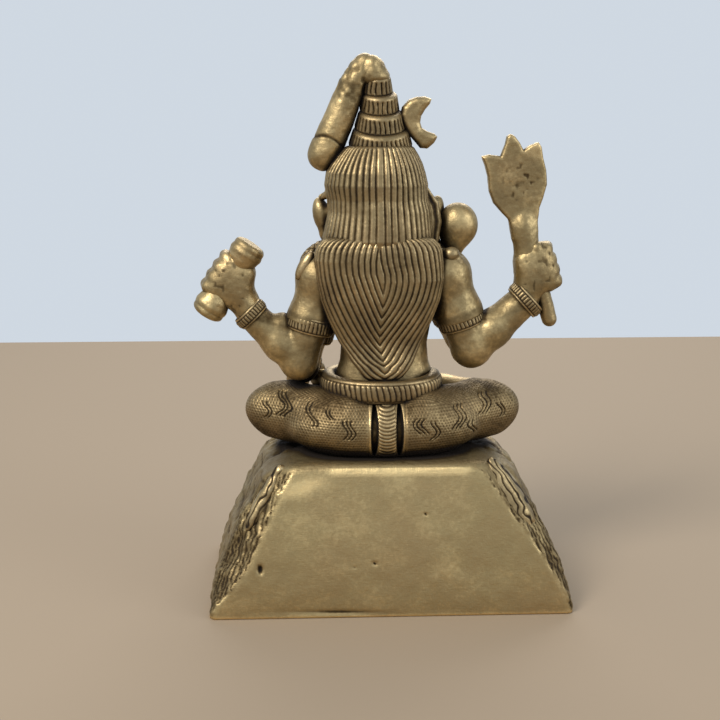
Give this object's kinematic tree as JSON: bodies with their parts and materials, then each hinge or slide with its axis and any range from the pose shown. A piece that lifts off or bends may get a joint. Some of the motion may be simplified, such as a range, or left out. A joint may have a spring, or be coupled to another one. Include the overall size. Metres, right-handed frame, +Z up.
{
  "type": "seated deity statue",
  "caption": "Free-standing figure: a cross-legged four-armed ascetic with coiled topknot and long combed hair, holding a drum and a trident, on a hollow rock-shaped base.",
  "frame": {"origin": "middle of the statue's outline seen from above, on the surface it stands on", "axes": "+Z up; the figure faces -Y; +X is the figure's own left-hand side"},
  "size_m": [0.096, 0.0604, 0.1386],
  "materials": {
    "pedestal_brass": "satin, finely scratched, darker in the hollows of the rock",
    "polished_brass": "rubbed smooth and bright, with dark tarnish in the creases",
    "carved_brass": "engraved, dark brown patina in the cut lines and bright ridges"
  },
  "bodies": {
    "root": {"bead_necklace": "carved_brass", "crescent_moon": "polished_brass", "damaru_drum": "polished_brass", "dhoti": "carved_brass", "dhoti_back_pleat": "carved_brass", "front_left_armband": "carved_brass", "front_left_bracelet": "carved_brass", "front_left_forearm": "polished_brass", "front_left_hand": "polished_brass", "front_left_upper_arm": "polished_brass", "front_right_armband": "carved_brass", "front_right_bracelet": "carved_brass", "front_right_forearm": "polished_brass", "front_right_hand": "polished_brass", "front_right_upper_arm": "polished_brass", "ganga_stream": "polished_brass", "hair_cap": "carved_brass", "hair_mane": "carved_brass", "head": "polished_brass", "left_earring": "polished_brass", "left_foot": "polished_brass", "left_shin": "polished_brass", "neck": "polished_brass", "pedestal": "pedestal_brass", "rear_left_armband": "carved_brass", "rear_left_bracelet": "carved_brass", "rear_left_forearm": "polished_brass", "rear_left_hand": "polished_brass", "rear_left_upper_arm": "polished_brass", "rear_right_armband": "carved_brass", "rear_right_bracelet": "carved_brass", "rear_right_forearm": "polished_brass", "rear_right_hand": "polished_brass", "rear_right_upper_arm": "polished_brass", "right_earring": "polished_brass", "right_foot": "polished_brass", "right_shin": "polished_brass", "serpent_body": "carved_brass", "serpent_hood": "polished_brass", "tiger_skin_flap": "carved_brass", "tiger_skin_head": "carved_brass", "tiger_skin_left_forepaw": "carved_brass", "tiger_skin_left_hind_leg": "carved_brass", "tiger_skin_right_forepaw": "carved_brass", "tiger_skin_right_hind_leg": "carved_brass", "topknot_coil_1": "carved_brass", "topknot_coil_2": "carved_brass", "topknot_coil_3": "carved_brass", "topknot_coil_4": "carved_brass", "topknot_tip": "polished_brass", "torso": "polished_brass", "trident": "polished_brass", "waist_belt": "carved_brass"}
  },
  "joints": []
}
